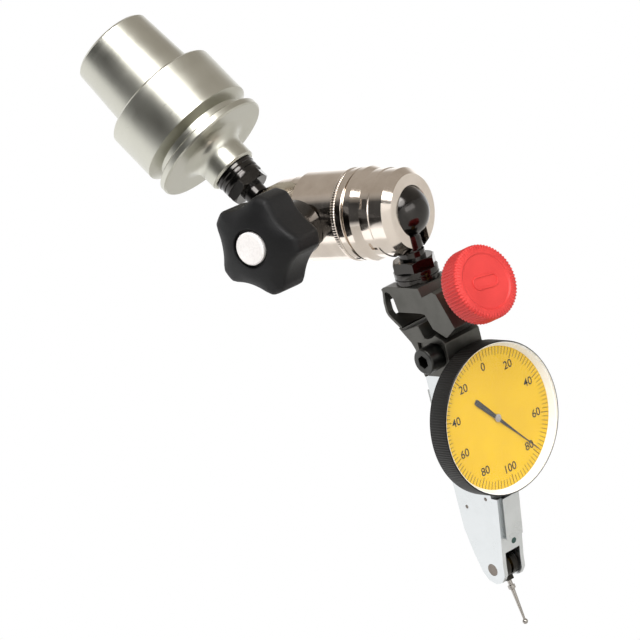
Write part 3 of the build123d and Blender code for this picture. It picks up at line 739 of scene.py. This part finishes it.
@dataclass
class FineScrew:
    """The fine screw, in mm from the red knob's face; its cone starts early to pass the stud's thread."""

    radius: float = 1.8
    tip: float = -25.7
    tip_r: float = 0.5
    cone_start: float = -19.4
    collar_r: float = 2.6
    collar: tuple[float, float] = (-7.2, -6.65)
    head_r: float = 2.0
    head_end: float = -1.6
    steps: int = 64

    def build(self) -> bpy.types.Object:
        """Builds the screw from one section.

        Returns:
            The screw, in place of its CAD node.
        """
        low, high = self.collar
        section = rounded([
            (0.0, self.tip, 0.0), (self.tip_r, self.tip, 0.1), (self.radius, self.cone_start, 0.1),
            (self.radius, low, 0.0), (self.collar_r, low, 0.1), (self.collar_r, high, 0.1),
            (self.head_r, high, 0.0), (self.head_r, self.head_end, 0.0), (0.0, self.head_end, 0.0),
        ], 3)
        mesh = spun(section, self.steps)
        piece = finished(mesh, "fine_screw_turned", RED_PLACE, "hardened_steel", "fine_screw", 30)
        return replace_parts(piece, "fine_screw")


@dataclass
class RedKnob:
    """The fluted thumb knob of the fine adjuster, in mm from its face."""

    radius: float = 9.4
    depth: float = 6.6
    back_r: float = 8.7
    back_slope: float = 0.8
    front_slope: float = 0.5
    rim_r: float = 7.1
    rim_slope: float = 0.3
    recess: float = 0.35
    bore_r: float = 2.02
    bore_end: float = 1.55
    flutes: int = 66
    flute_depth: float = 0.36
    flute_reach: float = 0.75        # how far in from the edge the flutes begin
    flute_run: float = 0.3
    pad_length: float = 7.6
    pad_width: float = 3.0
    pad_turn: float = 172.0          # degrees about the knob's axis
    pad_foot: float = 0.28           # half the width of the line where it stands, and on top
    pad_crest: float = 0.2
    pad_from: float = -0.37
    pad_to: float = -0.12

    def build(self) -> bpy.types.Object:
        """Builds the knob: a spun section with a raised rim, its edge drawn in at each flute.

        Returns:
            The knob, in place of its CAD node.
        """
        back = -self.depth
        section = rounded([
            (self.bore_r, back, 0.0), (self.back_r, back, 0.3), (self.radius, back + self.back_slope, 0.25),
            (self.radius, -self.front_slope, 0.2), (self.radius - self.front_slope, 0.0, 0.2),
            (self.rim_r, 0.0, 0.15), (self.rim_r - self.rim_slope, -self.recess, 0.15),
            (0.0, -self.recess, 0.0), (0.0, -self.bore_end, 0.0), (self.bore_r, -self.bore_end, 0.0),
        ], 4)
        mesh = spun(section, self.flutes * 6)
        knurl(mesh, self.flutes, self.flute_depth, self.radius - self.flute_reach, self.flute_run)
        piece = finished(mesh, "red_knob_turned", RED_PLACE, "red_aluminium", "red_knob", 40)
        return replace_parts(piece, "red_knob")

    def pad(self) -> bpy.types.Object:
        """Builds the raised oval line in the middle of the face: a ring pulled out along its length.

        Returns:
            The raised line.
        """
        ring_r = self.pad_width / 2
        mesh = spun(rounded([
            (ring_r - self.pad_foot, self.pad_from, 0.0), (ring_r + self.pad_foot, self.pad_from, 0.0),
            (ring_r + self.pad_crest, self.pad_to, 0.1), (ring_r - self.pad_crest, self.pad_to, 0.1),
        ], 3), 48)
        for vertex in mesh.verts:
            vertex.co.x += math.copysign((self.pad_length / 2 - ring_r) * MM, vertex.co.x)
        place = RED_PLACE @ Matrix.Rotation(math.radians(self.pad_turn), 4, "Z")
        piece = finished(mesh, "red_knob_pad", place, "red_aluminium", "red_knob", 50)
        return piece


@dataclass
class FineAdjuster(SubAssembly):
    """The split block with its leaf hinge, clamp jaw, fine screw and red knob."""

    looks = {
        "fine_block": "black_steel", "flexure_leaf": "black_steel", "fine_lever": "black_steel",
        "clamp_jaw": "black_steel", "clamp_screw": "screw_steel", "screw_bush": "bush_bronze",
        "fine_screw": "hardened_steel", "red_knob": "red_aluminium",
    }
    edge: float = 0.2
    leaf: FlexureLeaf = field(default_factory=FlexureLeaf)
    screw: FineScrew = field(default_factory=FineScrew)
    knob: RedKnob = field(default_factory=RedKnob)

    def build(self) -> None:
        """Breaks the edges of the blasted steel pieces and the cap screw, then builds the small parts."""
        blocks = {"fine_block": "fine_block", "fine_lever": "fine_lever", "clamp_jaw": "fine_lever"}
        for node, body in blocks.items():
            softened(node, "black_steel", body, self.edge)
        softened("clamp_screw", "screw_steel", "clamp_screw")
        self.leaf.build()
        self.screw.build()
        self.knob.build()
        self.knob.pad()


@dataclass
class FrontMark:
    """The small green dot on the indicator's nose, in mm on the indicator's side plane."""

    along: float = 86.6
    out: float = 10.22
    aside: float = -0.7
    slope: float = 12.9              # degrees that the nose leans back
    radius: float = 0.8
    below: float = -0.1              # how far the disc goes into the nose
    proud: float = 0.04

    def build(self) -> bpy.types.Object:
        """Builds the dot as a thin disc on the sloping face.

        Returns:
            The dot.
        """
        slope = math.radians(self.slope)
        outward = OUT_OF_DIAL * math.cos(slope) + DOWN_INDICATOR * math.sin(slope)
        origin = BLOCK_PLACE @ (Vector((self.along, self.out, self.aside)) * MM)
        place = frame_at(origin, OUT_OF_SIDE, outward)
        mesh = spun([(0.0, self.below), (self.radius, self.below), (self.radius, self.proud),
                     (0.0, self.proud)], 32)
        piece = finished(mesh, "front_mark", place, "green_mark", "fine_lever")
        return piece


@dataclass
class Indicator(SubAssembly):
    """The lever indicator's body with its dovetails, movement, contact lever and stylus."""

    looks = {
        "indicator_body": "satin_chrome", "top_dovetail": "satin_chrome", "back_dovetail": "satin_chrome",
        "bezel_seat": "satin_chrome", "dowel_pin_lower": "pin_steel", "dowel_pin_upper": "pin_steel",
        "pivot_pin": "pin_steel", "crown_arbor": "pin_steel", "movement_plate": "gilt_brass",
        "crown_wheel": "gilt_brass", "contact_lever": "gilt_brass", "upper_jewel": "ruby",
        "lower_jewel": "ruby", "contact_drum": "drum_dark", "stylus": "stylus_steel",
    }
    mark: FrontMark = field(default_factory=FrontMark)

    def build(self) -> None:
        """Breaks the body's edges and sets the dot in its nose."""
        softened("indicator_body", "satin_chrome", "fine_lever")
        self.mark.build()


@dataclass
class Dial(SubAssembly):
    """The bezel, dial, needle and cover, in mm along the dial's axis from the bezel joint's place."""

    looks = {
        "bezel": "bezel_black", "dial_ring": "white_enamel", "dial_plate": "dial_yellow",
        "crystal": "crystal", "needle": "needle_black", "needle_hub": "hub_steel",
        "needle_arbor": "pin_steel", "hairspring": "spring_steel",
    }
    bezel_r: float = 19.1
    front: float = 3.2
    depth: float = 6.2
    foot_r: float = 18.4
    glass_r: float = 18.8
    glass_seat: float = -0.9
    step_r: float = 16.8
    step: float = -2.1
    bore_r: float = 15.7
    level: float = 0.9               # the printed face
    knurls: int = 180
    knurl_depth: float = 0.16
    print_r: float = 17.75
    divisions: int = 100
    line_lengths: tuple[float, float, float] = (2.6, 2.3, 2.0)     # every tenth, every fifth, the rest
    line_widths: tuple[float, float] = (0.18, 0.14)                # every tenth, the rest
    line_thickness: float = 0.01
    zero_turn: float = 1.5           # degrees that the dial is turned off the indicator's line
    scale: tuple[int, ...] = (0, 20, 40, 60, 80, 100, 80, 60, 40, 20)
    number_r: float = 13.4
    number_height: float = 2.15
    number_thickness: float = 0.005
    stroke: float = 0.03             # how much the figures' strokes are fattened
    print_lift: float = 0.02

    def bezel(self) -> bpy.types.Object:
        """Builds the straight-knurled bezel ring.

        Returns:
            The ring, in place of its CAD node.
        """
        back = self.front - self.depth
        section = rounded([
            (self.bore_r, back, 0.0), (self.foot_r, back, 0.15), (self.bezel_r, back + 0.5, 0.2),
            (self.bezel_r, self.front - 0.3, 0.1), (self.bezel_r - 0.2, self.front, 0.03),
            (self.glass_r, self.front, 0.03), (self.glass_r, self.glass_seat, 0.0),
            (self.step_r, self.glass_seat, 0.0), (self.step_r, self.step, 0.0), (self.bore_r, self.step, 0.0),
        ], 3)
        mesh = spun(section, self.knurls * 4)
        knurl(mesh, self.knurls, self.knurl_depth, self.bezel_r - 0.02)
        piece = finished(mesh, "bezel_knurled", DIAL_PLACE, "bezel_black", "bezel", 40)
        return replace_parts(piece, "bezel")

    def graduations(self) -> bpy.types.Object:
        """Builds the printed lines, one thin bar for each division, longer every fifth and tenth.

        Returns:
            The printed scale.
        """
        mesh = bmesh.new()
        lift = (self.level + self.print_lift) * MM
        for i in range(self.divisions):
            tenth, fifth, other = self.line_lengths
            length = tenth if i % 10 == 0 else fifth if i % 5 == 0 else other
            width = self.line_widths[0 if i % 10 == 0 else 1]
            middle = self.print_r - length / 2 - 0.1
            turn = Matrix.Rotation(math.tau * i / self.divisions + math.radians(self.zero_turn), 4, "Z")
            size = Matrix.Diagonal((width * MM, length * MM, self.line_thickness * MM, 1))
            place = turn @ Matrix.Translation((0, middle * MM, lift)) @ size
            bmesh.ops.create_cube(mesh, size=1.0, matrix=place)
        piece = finished(mesh, "dial_graduations", DIAL_PLACE, "dial_ink", "bezel")
        return piece

    def number(self, i: int) -> bpy.types.Object:
        """Builds one of the scale's numbers as flat printed text.

        Args:
            i: its place on the scale, counted from the zero.

        Returns:
            The printed number.
        """
        curve = bpy.data.curves.new(f"dial_number_{i}", "FONT")
        curve.body = str(self.scale[i])
        curve.align_x = "CENTER"
        curve.align_y = "CENTER"
        curve.size = self.number_height * 1.35 * MM
        curve.extrude = self.number_thickness * MM
        curve.offset = self.stroke * MM
        text = bpy.data.objects.new(curve.name, curve)
        bpy.context.scene.collection.objects.link(text)
        bpy.context.view_layer.update()
        data = bpy.data.meshes.new_from_object(text.evaluated_get(bpy.context.evaluated_depsgraph_get()))
        bpy.data.objects.remove(text)
        angle = -math.tau * i / len(self.scale) + math.radians(self.zero_turn)
        across, down = -math.sin(angle) * self.number_r, math.cos(angle) * self.number_r
        mesh = bmesh.new()
        mesh.from_mesh(data)
        bpy.data.meshes.remove(data)
        mesh.transform(Matrix.Translation(Vector((across, down, self.level + self.print_lift)) * MM))
        piece = finished(mesh, f"dial_number_{i}", DIAL_PLACE, "dial_ink", "bezel")
        return piece

    def build(self) -> None:
        """Builds the bezel and the print."""
        self.bezel()
        self.graduations()
        for i in range(len(self.scale)):
            self.number(i)


# ---- light, floor and camera --------------------------------------------------------------------
@dataclass
class Studio:
    """A white room with a dark side behind the camera, a floor far below, soft lights and the camera."""

    right: Vector = field(default_factory=lambda: Vector((0.4706, 0.5706, -0.6731)).normalized())
    up: Vector = field(default_factory=lambda: Vector((0.6638, 0.2736, 0.6961)).normalized())
    toward: Vector = field(default_factory=lambda: Vector((0.5813, -0.7744, -0.2500)).normalized())
    centre: Vector = field(default_factory=lambda: Vector((-40.363, 56.702, 0.125)) * MM)
    middle: Vector = field(default_factory=lambda: Vector((0, 0, -0.06)))     # what the lights face
    distance: float = 1.0
    lens: float = 222.75
    sensor: float = 36.0
    floor_depth: float = 0.6
    ceiling: tuple[float, ...] = (0.50, 0.46, 0.41, 1.0)
    ground_level: float = 1.6
    # Direction to level of light: from behind the object to the camera's side, up, down, two boxes.
    room_stops: tuple[tuple[float, float], ...] = (
        (0.0, 1.3), (0.46, 1.2), (0.6, 0.07), (0.85, 0.04), (1.0, 0.2))
    above_stops: tuple[tuple[float, float], ...] = ((0.0, 0.0), (0.68, 0.0), (0.82, 1.0), (1.0, 1.0))
    below_stops: tuple[tuple[float, float], ...] = ((0.0, 1.0), (0.2, 1.0), (0.34, 0.0), (1.0, 0.0))
    box_stops: tuple[tuple[float, float], ...] = ((0.0, 0.0), (0.94, 0.0), (0.96, 6.5), (1.0, 6.5))
    side_stops: tuple[tuple[float, float], ...] = ((0.0, 0.0), (0.8, 0.0), (0.9, 0.4), (1.0, 0.45))

    def camera(self) -> None:
        """Places the camera, a metre from the object with a long lens."""
        turn = Matrix((self.right, self.up, self.toward)).transposed()
        data = bpy.data.cameras.new("studio_camera")
        data.lens = self.lens
        data.sensor_width = self.sensor
        data.clip_start = 0.05
        data.clip_end = 20.0
        camera = bpy.data.objects.new("studio_camera", data)
        offset = Vector((0, 0, self.distance)) - self.centre
        camera.matrix_world = Matrix.Translation(turn @ offset) @ turn.to_4x4()
        bpy.context.scene.collection.objects.link(camera)
        bpy.context.scene.camera = camera

    def world(self) -> None:
        """Lights metals by direction: white behind and below, grey above, dark by the camera, two boxes."""
        world = bpy.data.worlds.new("studio_room")
        bpy.context.scene.world = world
        world.use_nodes = True
        tree = world.node_tree
        tree.nodes.clear()
        direction = add_node(tree, "ShaderNodeTexCoord").outputs["Generated"]
        soft_box = (self.toward * 0.78 + self.up * 0.6 - self.right * 0.12).normalized()
        side_box = (self.right * 0.95 + self.toward * 0.3).normalized()
        facing, rising, at_box, at_side = (
            add_node(tree, "ShaderNodeVectorMath", {0: direction}, {1: axis},
                     operation="DOT_PRODUCT").outputs["Value"]
            for axis in (self.toward, self.up, soft_box, side_box))
        depth, height = (
            add_node(tree, "ShaderNodeMapRange", {"Value": value}, {
                "From Min": -1.0, "From Max": 1.0}).outputs[0]
            for value in (facing, rising))
        room, above, below, box, side = (
            add_node(tree, "ShaderNodeValToRGB", {"Fac": value}, stops=[
                (place, grey(level)) for place, level in stops]).outputs["Color"]
            for value, stops in (
                (depth, self.room_stops), (height, self.above_stops), (height, self.below_stops),
                (at_box, self.box_stops), (at_side, self.side_stops)))
        with_top = add_node(tree, "ShaderNodeMix", {0: above, 6: room}, {7: self.ceiling}, data_type="RGBA")
        with_floor = add_node(tree, "ShaderNodeMix", {0: below, 6: with_top.outputs[2]}, {
            7: grey(self.ground_level)}, data_type="RGBA")
        boxes = add_node(tree, "ShaderNodeVectorMath", {0: box, 1: side}, operation="ADD")
        total = add_node(tree, "ShaderNodeVectorMath", {
            0: with_floor.outputs[2], 1: boxes.outputs[0]}, operation="ADD")
        lit = add_node(tree, "ShaderNodeBackground", {"Color": total.outputs[0]}, {"Strength": 1.0})
        plain = add_node(tree, "ShaderNodeBackground", {}, {"Color": grey(1.0), "Strength": 1.0})
        is_camera = add_node(tree, "ShaderNodeLightPath").outputs["Is Camera Ray"]
        mixed = add_node(tree, "ShaderNodeMixShader", {
            0: is_camera, 1: lit.outputs[0], 2: plain.outputs[0]})
        add_node(tree, "ShaderNodeOutputWorld", {"Surface": mixed.outputs[0]})

    def area(self, name: str, place: Vector, size: float, power: float) -> None:
        """Adds a soft area light that faces the object.

        Args:
            name: the light's name.
            place: where it stands, in metres.
            size: its side, in metres.
            power: its power, in watts.
        """
        data = bpy.data.lights.new(name, "AREA")
        data.size = size
        data.energy = power
        light = bpy.data.objects.new(name, data)
        light.location = place
        light.rotation_euler = (self.middle - place).to_track_quat("-Z", "Y").to_euler()
        bpy.context.scene.collection.objects.link(light)

    def floor(self) -> None:
        """Lays a pale plain floor well below the object."""
        mesh = bmesh.new()
        bmesh.ops.create_grid(mesh, x_segments=1, y_segments=1, size=4.0)
        mesh.transform(Matrix.Translation((0, 0, -self.floor_depth)))
        data = bpy.data.meshes.new("studio_floor")
        mesh.to_mesh(data)
        mesh.free()
        floor = bpy.data.objects.new("studio_floor", data)
        material = bpy.data.materials.new("pale_floor")
        material.use_nodes = True
        shader = material.node_tree.nodes["Principled BSDF"]
        shader.inputs["Base Color"].default_value = linear("#f2f2f0")
        data.materials.append(material)
        bpy.context.scene.collection.objects.link(floor)

    def build(self) -> None:
        """Sets up the whole studio."""
        bpy.context.scene.view_settings.view_transform = "Standard"
        self.camera()
        self.world()
        self.floor()
        self.area("key_light", self.toward * 0.7 + self.up * 0.75 - self.right * 0.25, 0.6, 5.5)
        self.area("fill_light", self.toward * 0.8 + self.right * 0.7, 0.8, 5.0)


def main() -> None:
    """Dresses and builds the sub-assemblies in order, then sets up the studio."""
    for part in (Shank(), Arm(), StarKnob(), BallJoints(), FineAdjuster(), Indicator(), Dial()):
        part.dress_nodes()
        part.build()
    Studio().build()


if __name__ == "__main__":
    main()
